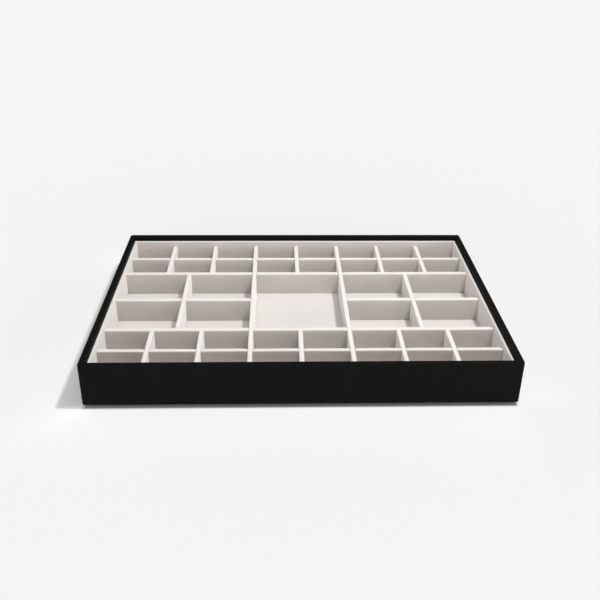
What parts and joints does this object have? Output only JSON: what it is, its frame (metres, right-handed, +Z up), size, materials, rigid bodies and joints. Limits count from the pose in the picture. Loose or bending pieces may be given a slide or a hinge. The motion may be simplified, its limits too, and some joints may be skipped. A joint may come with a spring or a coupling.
{
  "type": "jewelry organizer tray",
  "caption": "Shallow rectangular stackable jewelry tray, leatherette outside, velvet inside, with a fixed grid of small cells around wider middle cells and a large centre cell.",
  "frame": {"origin": "centre of the plinth's underside, the face the tray stands on", "axes": "+X along the tray's width to the right, +Y to the rear, +Z up out of the open top"},
  "size_m": [0.375, 0.258, 0.044],
  "materials": {
    "leatherette": "fine pebble grain, satin",
    "velvet": "short pile velvet",
    "fibreboard": "raw fibreboard",
    "card": "raw grey card",
    "foam": "open foam sheet",
    "underside_felt": "thin felt"
  },
  "bodies": {
    "root": {"base_board": "fibreboard", "floor_foam": "foam", "floor_velvet": "velvet", "front_column_divider_1_core": "card", "front_column_divider_1_sleeve": "velvet", "front_column_divider_2_core": "card", "front_column_divider_2_sleeve": "velvet", "front_column_divider_4_core": "card", "front_column_divider_4_sleeve": "velvet", "front_column_divider_6_core": "card", "front_column_divider_6_sleeve": "velvet", "front_column_divider_7_core": "card", "front_column_divider_7_sleeve": "velvet", "front_cross_divider_core": "card", "front_cross_divider_sleeve": "velvet", "front_liner_card": "card", "front_liner_velvet": "velvet", "front_main_divider_core": "card", "front_main_divider_sleeve": "velvet", "front_wall_board": "fibreboard", "left_liner_card": "card", "left_liner_velvet": "velvet", "left_long_divider_core": "card", "left_long_divider_sleeve": "velvet", "left_middle_divider_core": "card", "left_middle_divider_sleeve": "velvet", "left_wall_board": "fibreboard", "left_wide_cell_divider_core": "card", "left_wide_cell_divider_sleeve": "velvet", "outer_wrap": "leatherette", "plinth_board": "fibreboard", "plinth_cover": "underside_felt", "rear_column_divider_1_core": "card", "rear_column_divider_1_sleeve": "velvet", "rear_column_divider_2_core": "card", "rear_column_divider_2_sleeve": "velvet", "rear_column_divider_4_core": "card", "rear_column_divider_4_sleeve": "velvet", "rear_column_divider_6_core": "card", "rear_column_divider_6_sleeve": "velvet", "rear_column_divider_7_core": "card", "rear_column_divider_7_sleeve": "velvet", "rear_cross_divider_core": "card", "rear_cross_divider_sleeve": "velvet", "rear_liner_card": "card", "rear_liner_velvet": "velvet", "rear_main_divider_core": "card", "rear_main_divider_sleeve": "velvet", "rear_wall_board": "fibreboard", "right_liner_card": "card", "right_liner_velvet": "velvet", "right_long_divider_core": "card", "right_long_divider_sleeve": "velvet", "right_middle_divider_core": "card", "right_middle_divider_sleeve": "velvet", "right_wall_board": "fibreboard", "right_wide_cell_divider_core": "card", "right_wide_cell_divider_sleeve": "velvet"}
  },
  "joints": []
}
